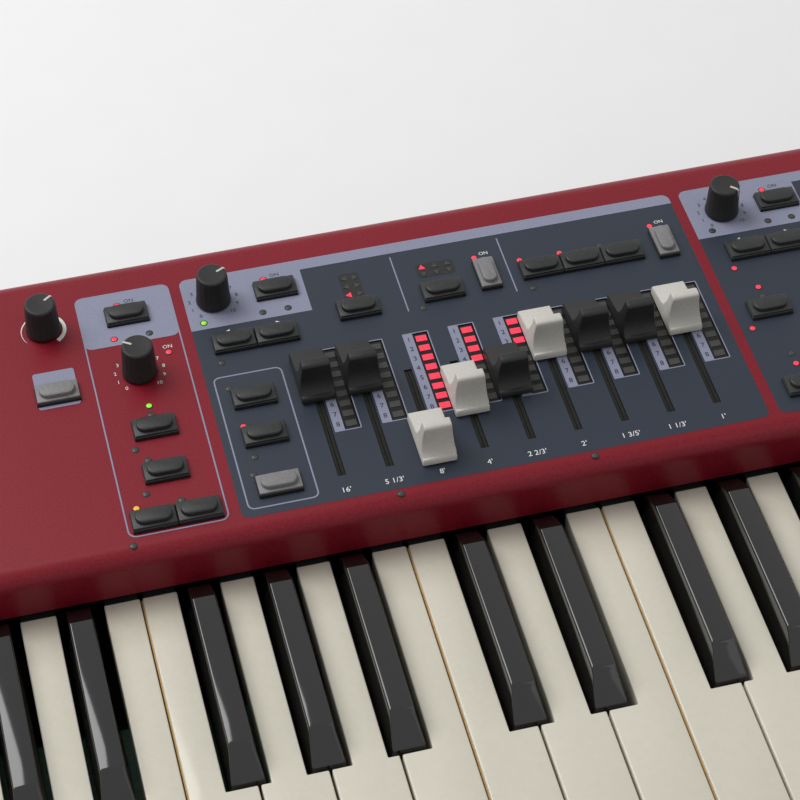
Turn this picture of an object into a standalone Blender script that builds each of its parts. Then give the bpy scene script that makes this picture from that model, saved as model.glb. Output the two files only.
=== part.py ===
"""Stage keyboard, 61 keys: case, panel, drawbars, knobs, buttons, key banks and inner boards."""
import math

import bmesh
import bpy
from mathutils import Matrix, Vector

MM = 0.001

# Driving dimensions in millimetres
WIDTH = 900.0
DEPTH = 281.0
OCTAVE = 165.0
OCTAVES = 5
WHITE = OCTAVE / 7
KEYS_WIDTH = OCTAVE * OCTAVES + WHITE
GAP = 0.3

# Heights above the surface that the feet stand on
PAN_BOTTOM = 6.0
PAN_TOP = 7.5
KEY_BOTTOM = 48.0
KEY_TOP = 63.0
SHARP_TOP = 71.5
SKIRT_BOTTOM = 65.0
PANEL_TOP = 84.0
SHEET = 2.0
REAR_EDGE = 58.3
KNOB_TOP = 98.2

# Depths along Y, from the keyboard's middle
FRONT = -DEPTH / 2
REAR = DEPTH / 2
SKIRT = -0.5
KEY_FRONT = -135.0
NOTCH = -85.0
HINGE_Y = 57.5
HINGE_Z = 47.0

# Half width between the two end cheeks
INNER = 424.9
CHEEK_INNER = 425.2

# Stems of the white keys and tops of the black keys inside one octave
WHITE_STEMS = ((0.5, 13.4), (28.9, 41.4), (57.8, 70.2), (71.2, 83.2), (98.3, 110.1), (125.3, 137.2),
               (152.2, 164.5))
BLACK_CENTRES = (21.0, 48.9, 90.9, 117.7, 144.7)
BLACK_BASE = 11.6
BLACK_TOP = 8.4

# Drawbars: first slot, pitch, slot ends and the lip of a bar that is pushed in
BAR_U = 146.64
BAR_PITCH = 17.16
SLOT_V = (18.3, 60.8)
SLOT_HALF = 1.46
BAR_IN_V = 53.1
BAR_STEP = 4.775
BAR_POSITIONS = (0, 0, 8, 4, 3, 0, 0, 0, 0)
BLACK_BARS = (0, 1, 4, 6, 7)
LADDER = (5.9, 11.5)
LADDER_V = (38.6, 77.4)

BLOCK = (15.6, 8.8)
UPRIGHT = (8.0, 15.0)
BLOCK_TOP = 86.2
CAP_TOP = 87.9
WEB_Z = (77.5, 79.5)

# Button groups: centres (u, v) of lying blocks, of upright blocks, and web strips (u0, u1, v0, v1)
BUTTONS = {
    "label_button": ([(57.0, 79.6)], [], [(50.0, 64.0, 76.0, 83.0)]),
    "rotary_buttons": ([(87.7, 111.8), (87.7, 55.5), (87.7, 35.0), (79.8, 14.7), (95.6, 14.7)], [],
                       [(92.3, 95.3, 13.0, 113.0), (76.0, 98.0, 12.7, 16.7)]),
    "organ_buttons": ([(143.4, 111.4), (123.2, 89.0), (139.1, 89.0)], [],
                      [(137.0, 145.0, 87.0, 113.0), (120.0, 141.0, 87.0, 91.0)]),
    "preset_buttons": ([(124.6, 61.2), (124.6, 42.8), (124.6, 19.5)], [], [(121.0, 128.0, 17.0, 63.0)]),
    "model_button": ([(171.0, 94.3)], [], [(165.0, 177.0, 91.5, 97.0)]),
    "vibrato_buttons": ([(203.4, 95.7)], [(221.6, 99.6)], [(203.0, 222.0, 95.0, 98.5)]),
    "percussion_buttons": ([(242.0, 97.9), (257.85, 97.9), (273.7, 97.9)], [(290.8, 99.5)],
                           [(242.0, 291.0, 96.0, 100.0)]),
    "piano_buttons": ([(339.8, 110.9), (320.2, 88.5), (336.0, 88.5), (317.7, 57.7), (317.7, 18.7)], [],
                      [(315.5, 320.0, 17.0, 90.0), (318.0, 341.0, 86.5, 90.5), (334.0, 341.0, 87.0, 112.0)]),
    "program_buttons": ([(462.0 + 24.0 * (n % 4), 52.0 - 26.0 * (n // 4)) for n in range(8)], [],
                        [(460.0, 536.0, 50.0, 54.0), (460.0, 536.0, 24.0, 28.0), (460.0, 464.0, 24.0, 54.0)]),
    "effect_buttons": ([(620.0 + 44.0 * (n % 5), 62.0 - 34.0 * (n // 5)) for n in range(10)], [],
                       [(618.0, 798.0, 60.0, 64.0), (618.0, 798.0, 26.0, 30.0), (618.0, 622.0, 26.0, 64.0)]),
}
GREY_GROUPS = ("label_button",)

KNOBS = {
    "master_knob": (57.0, 111.9),
    "drive_knob": (87.4, 83.0),
    "organ_level_knob": (120.1, 111.4),
    "piano_level_knob": (317.5, 110.5),
    "program_dial": (560.0, 96.0),
    "effect_knob_1": (642.0, 104.0),
    "effect_knob_2": (730.0, 104.0),
}
KNOB_RADII = (6.5, 5.65)
SHAFT = 3.0
SHAFT_BOTTOM = 73.5
DISPLAY = (452.0, 532.0, 78.0, 112.0)

JACKS = (-330.0, -290.0, -250.0, -210.0, -150.0, -110.0)
JACK_HALF = 4.5
JACK_BOTTOM = 40.0
SWITCH_X = 285.0
INLET_X = 340.0
SOCKET_Z = 30.0


def across(u):
    """World X in millimetres of a place u measured from the lowest key's left edge."""
    return u - KEYS_WIDTH / 2


def along(v):
    """World Y in millimetres of a place v measured from the skirt's front face."""
    return v + SKIRT


def material(name, colour, roughness, metallic=0.0):
    """A Principled material with one colour."""
    made = bpy.data.materials.get(name) or bpy.data.materials.new(name)
    made.use_nodes = True
    shader = made.node_tree.nodes["Principled BSDF"]
    shader.inputs["Base Color"].default_value = (*colour, 1.0)
    shader.inputs["Roughness"].default_value = roughness
    shader.inputs["Metallic"].default_value = metallic
    return made


def add_box(bm, x, y, z):
    """Add one box between the two ends given on each axis."""
    size = Matrix.Diagonal((x[1] - x[0], y[1] - y[0], z[1] - z[0], 1.0))
    centre = Vector(((x[0] + x[1]) / 2, (y[0] + y[1]) / 2, (z[0] + z[1]) / 2))
    bmesh.ops.create_cube(bm, size=1.0, matrix=Matrix.Translation(centre) @ size)


def add_round(bm, centre, radius, z, top_radius=None, segments=24):
    """Add one upright cylinder or cone."""
    place = Matrix.Translation((centre[0], centre[1], (z[0] + z[1]) / 2))
    bmesh.ops.create_cone(bm, cap_ends=True, segments=segments, radius1=radius,
                          radius2=radius if top_radius is None else top_radius,
                          depth=z[1] - z[0], matrix=place)


def add_prism(bm, outline, x):
    """Add an outline of (y, z) points extruded between two values of x."""
    made = [bm.verts.new((x[0], y, z)) for y, z in outline]
    face = bm.faces.new(made)
    grown = bmesh.ops.extrude_face_region(bm, geom=[face])
    moved = [item for item in grown["geom"] if isinstance(item, bmesh.types.BMVert)]
    bmesh.ops.translate(bm, vec=(x[1] - x[0], 0.0, 0.0), verts=moved)
    return made + moved


def add_plate(bm, outline, z):
    """Add an outline of (x, y) points extruded between two heights."""
    made = [bm.verts.new((x, y, z[0])) for x, y in outline]
    face = bm.faces.new(made)
    grown = bmesh.ops.extrude_face_region(bm, geom=[face])
    moved = [item for item in grown["geom"] if isinstance(item, bmesh.types.BMVert)]
    bmesh.ops.translate(bm, vec=(0.0, 0.0, z[1] - z[0]), verts=moved)


def finish_object(name, bm, finish, pivot=(0.0, 0.0, 0.0)):
    """Turn a bmesh in millimetres into an object in metres whose origin is the pivot."""
    bmesh.ops.recalc_face_normals(bm, faces=bm.faces)
    bmesh.ops.translate(bm, vec=-Vector(pivot), verts=bm.verts)
    bmesh.ops.scale(bm, vec=(MM, MM, MM), verts=bm.verts)
    mesh = bpy.data.meshes.new(name)
    bm.to_mesh(mesh)
    bm.free()
    made = bpy.data.objects.new(name, mesh)
    made.location = Vector(pivot) * MM
    bpy.context.collection.objects.link(made)
    mesh.shade_smooth()
    mesh.set_sharp_from_angle(angle=math.radians(35))
    if finish is not None:
        mesh.materials.append(finish)
    return made


def combine(target, bm, operation, pivot=(0.0, 0.0, 0.0)):
    """Join or cut an object with the solids in a bmesh, through an exact Boolean."""
    tool = finish_object(target.name + "_tool_" + operation.lower(), bm, None, pivot)
    tool.hide_render = True
    tool.display_type = "WIRE"
    step = target.modifiers.new(operation.lower(), "BOOLEAN")
    step.operation = operation
    step.solver = "EXACT"
    step.use_self = operation == "UNION"
    step.object = tool
    return target


def simple_box(name, finish, x, y, z):
    """One node that is a plain box."""
    bm = bmesh.new()
    add_box(bm, x, y, z)
    return finish_object(name, bm, finish)


def panel_outline():
    """Section of the folded top panel: skirt, front roll, top, rear roll and rear wall."""
    def roll(centre, radius, first, last):
        steps = 5
        angles = [math.radians(first + (last - first) * n / steps) for n in range(steps + 1)]
        return [(centre[0] + radius * math.cos(a), centre[1] + radius * math.sin(a)) for a in angles]

    front_roll, rear_roll = 6.0, 8.0
    front = (SKIRT + front_roll, PANEL_TOP - front_roll)
    rear = (REAR - rear_roll, PANEL_TOP - rear_roll)
    outer = ([(SKIRT, SKIRT_BOTTOM)] + roll(front, front_roll, 180, 90)
             + roll(rear, rear_roll, 90, 0) + [(REAR, REAR_EDGE)])
    inner = ([(REAR - SHEET, REAR_EDGE)] + roll(rear, rear_roll - SHEET, 0, 90)
             + roll(front, front_roll - SHEET, 90, 180) + [(SKIRT + SHEET, SKIRT_BOTTOM)])
    return outer + inner


def build_top_panel(finish):
    """The folded sheet with its slots, windows, button holes and shaft holes."""
    bm = bmesh.new()
    add_prism(bm, panel_outline(), (-INNER, INNER))
    panel = finish_object("top_panel", bm, finish)
    cut = (PANEL_TOP - SHEET - 1.5, PANEL_TOP + 1.5)
    tools = bmesh.new()
    for n in range(len(BAR_POSITIONS)):
        x = across(BAR_U + BAR_PITCH * n)
        add_box(tools, (x - SLOT_HALF, x + SLOT_HALF), [along(v) for v in SLOT_V], cut)
        add_box(tools, (x + LADDER[0], x + LADDER[1]), [along(v) for v in LADDER_V], cut)
    for lying, upright, _ in BUTTONS.values():
        for places, size in ((lying, BLOCK), (upright, UPRIGHT)):
            for u, v in places:
                half = (size[0] / 2 + 0.09, size[1] / 2 + GAP)
                add_box(tools, (across(u) - half[0], across(u) + half[0]),
                        (along(v) - half[1], along(v) + half[1]), cut)
    for u, v in KNOBS.values():
        add_round(tools, (across(u), along(v)), SHAFT + 0.5, cut, segments=16)
    add_box(tools, (across(DISPLAY[0]), across(DISPLAY[1])), (along(DISPLAY[2]), along(DISPLAY[3])), cut)
    return combine(panel, tools, "DIFFERENCE")


def build_cheeks(finish):
    """The two end cheeks: a low block beside the keys and a full-height one beside the panel."""
    outline = [(FRONT, PAN_BOTTOM), (FRONT, 60.0), (FRONT + 3.0, 66.0), (FRONT + 9.0, 68.0),
               (-14.0, 68.0), (-6.0, 70.0), (-0.5, 78.0), (5.0, PANEL_TOP), (REAR - 8.0, PANEL_TOP),
               (REAR - 2.3, PANEL_TOP - 2.3), (REAR, PANEL_TOP - 8.0), (REAR, PAN_BOTTOM)]
    for name, ends in (("left_cheek", (-WIDTH / 2, -CHEEK_INNER)), ("right_cheek", (CHEEK_INNER, WIDTH / 2))):
        bm = bmesh.new()
        add_prism(bm, outline, ends)
        finish_object(name, bm, finish)


def build_case(red, dark, steel, rubber):
    """Bottom pan, front rail, rear panel and feet."""
    simple_box("bottom_pan", steel, (-INNER, INNER), (-136.8, 137.5), (PAN_BOTTOM, PAN_TOP))
    simple_box("front_rail", red, (-INNER, INNER), (FRONT, FRONT + 3.0), (PAN_BOTTOM, 41.0))
    bm = bmesh.new()
    add_box(bm, (-INNER, INNER), (REAR - 2.6, REAR - 0.4), (PAN_TOP + GAP, REAR_EDGE - GAP))
    rear = finish_object("rear_panel", bm, dark)
    tools = bmesh.new()
    for x in JACKS:
        add_box(tools, (x - JACK_HALF, x + JACK_HALF), (REAR - 4.0, REAR + 1.0), (JACK_BOTTOM, REAR_EDGE + 1.0))
    add_box(tools, (SWITCH_X - 10.0, SWITCH_X + 10.0), (REAR - 4.0, REAR + 1.0), (22.0, 38.0))
    add_box(tools, (INLET_X - 14.3, INLET_X + 14.3), (REAR - 4.0, REAR + 1.0), (19.7, 40.3))
    combine(rear, tools, "DIFFERENCE")
    for n, (x, y) in enumerate(((-390.0, -110.0), (390.0, -110.0), (-390.0, 110.0), (390.0, 110.0))):
        bm = bmesh.new()
        add_round(bm, (x, y), 10.0, (0.0, PAN_BOTTOM - GAP), 12.0, segments=20)
        finish_object("foot_%d" % (n + 1), bm, rubber)


def build_insides(steel, board, dark, metal):
    """Key frame and rails, circuit boards, power supply, jack bar and mains inlet."""
    bm = bmesh.new()
    add_box(bm, (-420.0, 420.0), (-130.0, 66.0), (PAN_TOP + GAP, 11.0))
    ribs = bmesh.new()
    for y in (-72.0, -41.0):
        add_box(ribs, (-415.0, 415.0), (y, y + 3.0), (9.0, 35.7))
    combine(finish_object("keybed_frame", bm, steel), ribs, "UNION")
    simple_box("key_contact_board", board, (-415.0, 415.0), (-74.0, -36.0), (36.0, 37.6))
    simple_box("key_stop_rail", dark, (-420.0, 420.0), (-120.5, -110.5), (11.3, 36.7))
    simple_box("key_pivot_rail", steel, (-420.0, 420.0), (51.5, 63.5), (11.3, 46.4))
    simple_box("control_board", board, (-418.0, 418.0), (6.0, 126.0), (71.2, 72.8))
    simple_box("main_board", board, (-300.0, 120.0), (76.0, 115.0), (PAN_TOP + GAP, 9.4))
    simple_box("power_supply", metal, (230.0, 400.0), (72.0, 112.0), (PAN_TOP + GAP, 42.0))
    bm = bmesh.new()
    add_box(bm, (JACKS[0] - 12.0, JACKS[-1] + 12.0), (118.0, REAR - 2.9), (PAN_TOP + GAP, 57.0))
    bar = finish_object("jack_bar", bm, dark)
    tools = bmesh.new()
    for x in JACKS:
        add_box(tools, (x - JACK_HALF, x + JACK_HALF), (122.0, REAR + 1.0), (JACK_BOTTOM, REAR_EDGE + 1.0))
    combine(bar, tools, "DIFFERENCE")
    bm = bmesh.new()
    add_box(bm, (INLET_X - 14.0, INLET_X + 14.0), (118.0, REAR - 0.5), (20.0, 40.0))
    inlet = finish_object("power_inlet", bm, dark)
    tools = bmesh.new()
    add_box(tools, (INLET_X - 11.0, INLET_X + 11.0), (124.0, REAR + 1.0), (22.5, 37.5))
    combine(inlet, tools, "DIFFERENCE")
    bm = bmesh.new()
    add_box(bm, (SWITCH_X - 9.6, SWITCH_X + 9.6), (134.6, 139.4), (SOCKET_Z - 6.4, SOCKET_Z + 6.4))
    pivot = Vector((SWITCH_X, 137.0, SOCKET_Z))
    turn = Matrix.Rotation(math.radians(-8.0), 3, "X")
    bmesh.ops.rotate(bm, cent=pivot, matrix=turn, verts=bm.verts)
    finish_object("power_switch", bm, dark, pivot)


def build_windows(smoke):
    """The display window and the comb of ladder lenses under the panel."""
    bm = bmesh.new()
    add_box(bm, (across(DISPLAY[0]) + GAP, across(DISPLAY[1]) - GAP),
            (along(DISPLAY[2]) + GAP, along(DISPLAY[3]) - GAP), (78.0, PANEL_TOP - GAP))
    finish_object("display_window", bm, smoke)
    last = len(BAR_POSITIONS) - 1
    bm = bmesh.new()
    add_box(bm, (across(BAR_U) + LADDER[0] + GAP, across(BAR_U + BAR_PITCH * last) + LADDER[1] - GAP),
            (along(70.0), along(79.0)), (76.0, 81.6))
    bars = bmesh.new()
    for n in range(last + 1):
        x = across(BAR_U + BAR_PITCH * n)
        add_box(bars, (x + LADDER[0] + GAP, x + LADDER[1] - GAP),
                (along(LADDER_V[0]) + GAP, along(LADDER_V[1]) - GAP), (78.0, PANEL_TOP - GAP))
    combine(finish_object("ladder_lens", bm, smoke), bars, "UNION")


def white_bank_outline(start):
    """Outline of one octave of white keys that are joined by the web behind them."""
    back, web = along(60.0), along(50.0)
    points = [(across(start + WHITE_STEMS[0][0]), back)]
    for n, (left, right) in enumerate(WHITE_STEMS):
        head = (n * WHITE + 0.5, (n + 1) * WHITE - 0.5)
        run = [(left, web), (left, NOTCH), (head[0], NOTCH), (head[0], KEY_FRONT), (head[1], KEY_FRONT),
               (head[1], NOTCH), (right, NOTCH), (right, web)]
        if n in (0, 3):
            run = [(head[0], web), (head[0], KEY_FRONT)] + run[4:]
        if n in (2, 6):
            run = run[:-4] + [(head[1], KEY_FRONT), (head[1], web)]
        if n == 0:
            run = run[1:]
        if n == 6:
            run = run[:-1]
        points += [(across(start + u), y) for u, y in run]
    points.append((across(start + 7 * WHITE - 0.5), back))
    return points


def build_keys(ivory, ebony):
    """Five banks of white keys, five of black keys and the top key."""
    pivot = (0.0, HINGE_Y, HINGE_Z)
    profile = [(NOTCH + 1.0, 50.0), (NOTCH + 1.0, 62.6), (NOTCH + 2.2, 64.6), (-73.2, SHARP_TOP),
               (-12.0, SHARP_TOP), (-3.5, 64.2), (36.0, 64.2), (37.0, 68.0), (47.0, 68.0), (47.0, 50.0)]
    for octave in range(OCTAVES):
        start = octave * OCTAVE
        bm = bmesh.new()
        add_plate(bm, white_bank_outline(start), (KEY_BOTTOM, KEY_TOP))
        finish_object("naturals_octave_%d" % (octave + 1), bm, ivory, pivot)
        banks = bmesh.new()
        for centre in BLACK_CENTRES:
            x = across(start + centre)
            corners = add_prism(banks, profile, (x - BLACK_BASE / 2, x + BLACK_BASE / 2))
            for corner in corners:
                if corner.co.z > 65.0 and corner.co.y < 0.0:
                    corner.co.x = x + (corner.co.x - x) * BLACK_TOP / BLACK_BASE
        bm = bmesh.new()
        add_box(bm, (across(start + BLACK_CENTRES[0]) - 4.0, across(start + BLACK_CENTRES[-1]) + 4.0),
                (38.0, 46.5), (64.7, 67.6))
        bank = finish_object("sharps_octave_%d" % (octave + 1), bm, ebony, pivot)
        combine(bank, banks, "UNION", pivot)
    bm = bmesh.new()
    add_box(bm, (across(OCTAVES * OCTAVE + 0.5), across(KEYS_WIDTH - 0.5)), (KEY_FRONT, along(60.0)),
            (KEY_BOTTOM, KEY_TOP))
    finish_object("top_c_key", bm, ivory, pivot)


def build_drawbars(black, white):
    """Nine drawbars: finger cap with its scoop and tongue, stem through the slot, and carriage."""
    base = PANEL_TOP + 0.6
    side = [(0.0, base), (0.0, base + 1.0), (1.1, base + 2.2), (2.4, base + 4.0), (3.1, base + 7.5),
            (3.2, base + 11.5), (3.1, base + 15.4), (7.4, base + 15.4), (8.6, base + 10.4), (10.6, base + 5.9),
            (22.7, base + 3.4), (22.7, base)]
    for n, position in enumerate(BAR_POSITIONS):
        x = across(BAR_U + BAR_PITCH * n)
        lip = along(BAR_IN_V - BAR_STEP * position)
        bm = bmesh.new()
        corners = add_prism(bm, [(lip + y, z) for y, z in side], (x - 6.2, x + 6.2))
        for corner in corners:
            rise = min(1.0, max(0.0, (corner.co.z - base - 3.5) / 12.0))
            corner.co.x = x + (corner.co.x - x) * (1.0 - 0.2 * rise)
        pivot = (x, lip + 5.8, PANEL_TOP)
        bar = finish_object("drawbar_%d" % (n + 1), bm, black if n in BLACK_BARS else white, pivot)
        stem = bmesh.new()
        add_box(stem, (x - 1.1, x + 1.1), (lip + 4.5, lip + 7.2), (76.0, base + 2.0))
        add_box(stem, (x - 4.6, x + 4.6), (lip - 2.0, lip + 14.0), (75.0, 80.5))
        combine(bar, stem, "UNION", pivot)


def build_knobs(black):
    """Each knob with its shaft through the panel."""
    for name, (u, v) in KNOBS.items():
        centre = (across(u), along(v))
        pivot = (centre[0], centre[1], PANEL_TOP)
        bm = bmesh.new()
        add_round(bm, centre, KNOB_RADII[0], (PANEL_TOP + 0.5, KNOB_TOP), KNOB_RADII[1])
        knob = finish_object(name, bm, black, pivot)
        shaft = bmesh.new()
        add_round(shaft, centre, SHAFT, (SHAFT_BOTTOM, PANEL_TOP + 4.0), segments=16)
        combine(knob, shaft, "UNION", pivot)


def build_buttons(black, grey):
    """Each group of buttons on its thin web under the panel."""
    for name, (lying, upright, strips) in BUTTONS.items():
        blocks = [(place, BLOCK) for place in lying] + [(place, UPRIGHT) for place in upright]
        pivot = (across(blocks[0][0][0]), along(blocks[0][0][1]), PANEL_TOP)
        bm = bmesh.new()
        first = strips[0]
        add_box(bm, (across(first[0]), across(first[1])), (along(first[2]), along(first[3])), WEB_Z)
        made = finish_object(name, bm, grey if name in GREY_GROUPS else black, pivot)
        rest = bmesh.new()
        for u0, u1, v0, v1 in strips[1:]:
            add_box(rest, (across(u0), across(u1)), (along(v0), along(v1)), WEB_Z)
        for (u, v), size in blocks:
            for shrink, top in ((0.0, BLOCK_TOP), (1.6, CAP_TOP)):
                half = (size[0] / 2 - shrink, size[1] / 2 - shrink * 0.8)
                add_box(rest, (across(u) - half[0], across(u) + half[0]),
                        (along(v) - half[1], along(v) + half[1]), (WEB_Z[0] + 0.4 + shrink, top))
        combine(made, rest, "UNION", pivot)


def main():
    """Build the whole keyboard."""
    for thing in list(bpy.data.objects):
        bpy.data.objects.remove(thing, do_unlink=True)
    red = material("panel_red", (0.18, 0.02, 0.032), 0.42)
    dark = material("black_panel", (0.02, 0.02, 0.022), 0.5)
    steel = material("zinc_steel", (0.5, 0.5, 0.5), 0.4, 1.0)
    metal = material("shield_tin", (0.6, 0.6, 0.6), 0.35, 1.0)
    rubber = material("foot_rubber", (0.02, 0.02, 0.02), 0.8)
    board = material("circuit_board", (0.01, 0.12, 0.05), 0.5)
    smoke = material("smoked_lens", (0.03, 0.03, 0.03), 0.15)
    ivory = material("ivory_key", (0.52, 0.5, 0.42), 0.3)
    ebony = material("ebony_key", (0.01, 0.01, 0.01), 0.12)
    black = material("black_plastic", (0.02, 0.02, 0.021), 0.4)
    white = material("white_plastic", (0.55, 0.53, 0.5), 0.35)
    grey = material("grey_plastic", (0.19, 0.18, 0.18), 0.4)
    build_top_panel(red)
    build_cheeks(red)
    build_case(red, dark, steel, rubber)
    build_insides(steel, board, dark, metal)
    build_windows(smoke)
    build_keys(ivory, ebony)
    build_drawbars(black, white)
    build_knobs(black)
    build_buttons(black, grey)


main()
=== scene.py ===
"""Looks of the stage keyboard: printed panel, drawbars, knobs, buttons, lamps and keys."""
import logging
import math
from dataclasses import dataclass, field
from enum import Enum
from typing import Callable, Iterable, Sequence

import bmesh
import bpy
from mathutils import Matrix, Vector


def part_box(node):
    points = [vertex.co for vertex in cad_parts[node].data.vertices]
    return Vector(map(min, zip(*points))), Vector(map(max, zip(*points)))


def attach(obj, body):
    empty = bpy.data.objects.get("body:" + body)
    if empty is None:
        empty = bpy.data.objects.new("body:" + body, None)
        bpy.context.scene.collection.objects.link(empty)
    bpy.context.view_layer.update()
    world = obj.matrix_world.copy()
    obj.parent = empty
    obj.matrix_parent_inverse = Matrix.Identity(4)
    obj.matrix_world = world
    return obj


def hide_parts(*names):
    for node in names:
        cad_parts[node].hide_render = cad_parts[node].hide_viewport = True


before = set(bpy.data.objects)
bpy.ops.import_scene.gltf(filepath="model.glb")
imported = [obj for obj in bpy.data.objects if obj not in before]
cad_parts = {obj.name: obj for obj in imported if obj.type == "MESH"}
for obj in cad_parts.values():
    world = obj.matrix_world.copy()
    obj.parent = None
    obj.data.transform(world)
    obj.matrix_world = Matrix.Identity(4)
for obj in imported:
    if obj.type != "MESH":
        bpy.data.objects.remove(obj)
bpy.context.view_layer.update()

LOG = logging.getLogger("stage_keyboard")

MM = 0.001
OCTAVE = 165.0
WHITE = OCTAVE / 7
KEYS_WIDTH = 5 * OCTAVE + WHITE
SKIRT = -0.5
REAR = 140.5
PANEL_TOP = 84.0
SHEET = 2.0
KEY_TOP = 63.0
SHARP_TOP = 71.5
HEADER_TOP = 124.5
HEADER_LOW = 98.0
BAND_LOW = 119.4
FIELD_LOW = 7.7
INK = 0.05

Point = tuple[float, float]
Span = tuple[float, float]


def across(u: float) -> float:
    """World X in millimetres of a place u from the lowest key's left edge."""
    return u - KEYS_WIDTH / 2


def along(v: float) -> float:
    """World Y in millimetres of a place v from the skirt's front face."""
    return v + SKIRT


class Ink(Enum):
    """Colours of the printed fields and lines, as linear red, green and blue."""

    LAVENDER = (0.215, 0.223, 0.305)
    SLATE = (0.019, 0.026, 0.040)
    WHITE = (0.68, 0.68, 0.66)
    DARK = (0.018, 0.02, 0.028)


class LampState(Enum):
    """What a lamp shows: its lens colour and how strongly it shines."""

    RED = ((1.0, 0.05, 0.10), 0.95)
    GREEN = ((0.29, 0.80, 0.03), 0.95)
    ORANGE = ((1.0, 0.42, 0.03), 0.95)
    OFF = ((0.066, 0.065, 0.062), 0.0)


class Wire:
    """A shader socket with arithmetic: each operator adds one Math node."""

    def __init__(self, tree: bpy.types.NodeTree, socket: bpy.types.NodeSocket) -> None:
        """Keep the node tree and the socket."""
        self.tree = tree
        self.socket = socket

    def _math(self, operation: str, first: "Wire | float", second: "Wire | float") -> "Wire":
        """Add one Math node.

        Args:
            operation: the Math node's operation.
            first: its first value or link.
            second: its second value or link.

        Returns:
            The node's result.
        """
        made = self.tree.nodes.new("ShaderNodeMath")
        made.operation = operation
        for slot, value in zip(made.inputs, (first, second)):
            if isinstance(value, Wire):
                self.tree.links.new(value.socket, slot)
            else:
                slot.default_value = value
        return Wire(self.tree, made.outputs[0])

    def __add__(self, other: "Wire | float") -> "Wire":
        """Sum with a value or another wire."""
        return self._math("ADD", self, other)

    __radd__ = __add__

    def __mul__(self, other: "Wire | float") -> "Wire":
        """Product with a value or another wire."""
        return self._math("MULTIPLY", self, other)

    __rmul__ = __mul__

    def __sub__(self, other: "Wire | float") -> "Wire":
        """Difference from this wire."""
        return self._math("SUBTRACT", self, other)

    def __rsub__(self, other: float) -> "Wire":
        """Difference of a number and this wire."""
        return self._math("SUBTRACT", other, self)


class Shade:
    """One material under construction, with its Principled shader."""

    def __init__(self, name: str) -> None:
        """Start a material of that name."""
        self.material = bpy.data.materials.new(name)
        self.material.use_nodes = True
        self.tree = self.material.node_tree
        self.shader = self.tree.nodes["Principled BSDF"]

    def node(self, kind: str, settings: dict[str, object], values: dict[object, object],
             out: int | str = 0) -> Wire:
        """Add any node: its settings first, then its sockets' values or links.

        Args:
            kind: the node's type.
            settings: attributes that are set before its sockets.
            values: socket name or number to a number, a tuple or a Wire.
            out: the output that is handed back.

        Returns:
            The chosen output.
        """
        made = self.tree.nodes.new(kind)
        for key, value in settings.items():
            setattr(made, key, value)
        for key, value in values.items():
            self.feed(made.inputs[key], value)
        return Wire(self.tree, made.outputs[out])

    def feed(self, slot: bpy.types.NodeSocket, value: object) -> None:
        """Link or set one input socket."""
        if isinstance(value, Wire):
            self.tree.links.new(value.socket, slot)
        else:
            slot.default_value = value

    def place(self) -> Wire:
        """Object coordinates."""
        return self.node("ShaderNodeTexCoord", {}, {}, "Object")

    def noise(self, scale: float, detail: float = 3.0) -> Wire:
        """Noise of a given scale on Object coordinates."""
        return self.node("ShaderNodeTexNoise", {}, {"Vector": self.place(), "Scale": scale, "Detail": detail})

    def blend(self, factor: Wire, first: Sequence[float], second: Sequence[float]) -> Wire:
        """Mix two colours by a factor."""
        return self.node("ShaderNodeMix", {"data_type": "RGBA"},
                         {0: factor, 6: (*first, 1.0), 7: (*second, 1.0)}, 2)


@dataclass(frozen=True)
class Finish:
    """A moulded, painted or printed surface with grain, cloudy wear and a fine bump."""

    name: str
    colour: tuple[float, float, float]
    second: tuple[float, float, float]
    grain: float = 900.0
    cloud: float = 14.0
    roughness: float = 0.42
    spread: float = 0.12
    bump: float = 0.15
    bump_mm: float = 0.03
    metallic: float = 0.0
    coat: float = 0.0
    specular: float = 0.25

    def make(self) -> bpy.types.Material:
        """Build the material.

        Returns:
            The finished material, made once for each name.
        """
        known = bpy.data.materials.get(self.name)
        if known is not None:
            return known
        shade = Shade(self.name)
        grain = shade.noise(self.grain, 2.0)
        cloud = shade.noise(self.cloud, 4.0)
        mixed = grain * 0.7 + cloud * 0.3
        stretched = shade.node("ShaderNodeMapRange", {}, {0: mixed, 1: 0.36, 2: 0.64})
        shade.feed(shade.shader.inputs["Base Color"], shade.blend(stretched, self.colour, self.second))
        shade.feed(shade.shader.inputs["Roughness"], cloud * self.spread + (self.roughness - self.spread / 2))
        shade.shader.inputs["Metallic"].default_value = self.metallic
        shade.shader.inputs["Coat Weight"].default_value = self.coat
        shade.shader.inputs["Specular IOR Level"].default_value = self.specular
        shade.shader.inputs["Coat Roughness"].default_value = 0.08
        bumped = shade.node("ShaderNodeBump", {}, {"Strength": self.bump, "Distance": self.bump_mm * MM,
                                                   "Height": grain})
        shade.feed(shade.shader.inputs["Normal"], bumped)
        return shade.material


@dataclass(frozen=True)
class LampFinish:
    """A small lens: coloured plastic with a lit heart where it is on."""

    name: str
    state: LampState

    def make(self) -> bpy.types.Material:
        """Build the lens material, made once for each name."""
        known = bpy.data.materials.get(self.name)
        if known is not None:
            return known
        colour, strength = self.state.value
        shade = Shade(self.name)
        grain = shade.noise(1400.0, 2.0)
        dim = tuple(0.75 * part for part in colour)
        body = tuple(0.3 * part for part in colour) if strength > 0.0 else dim
        shade.feed(shade.shader.inputs["Base Color"], shade.blend(grain, body, dim if strength == 0.0 else body))
        shade.shader.inputs["Specular IOR Level"].default_value = 0.25
        shade.feed(shade.shader.inputs["Roughness"], grain * 0.2 + 0.2)
        if strength > 0.0:
            shade.feed(shade.shader.inputs["Emission Color"], shade.blend(grain, dim, colour))
            shade.shader.inputs["Emission Strength"].default_value = strength
        return shade.material


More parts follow.
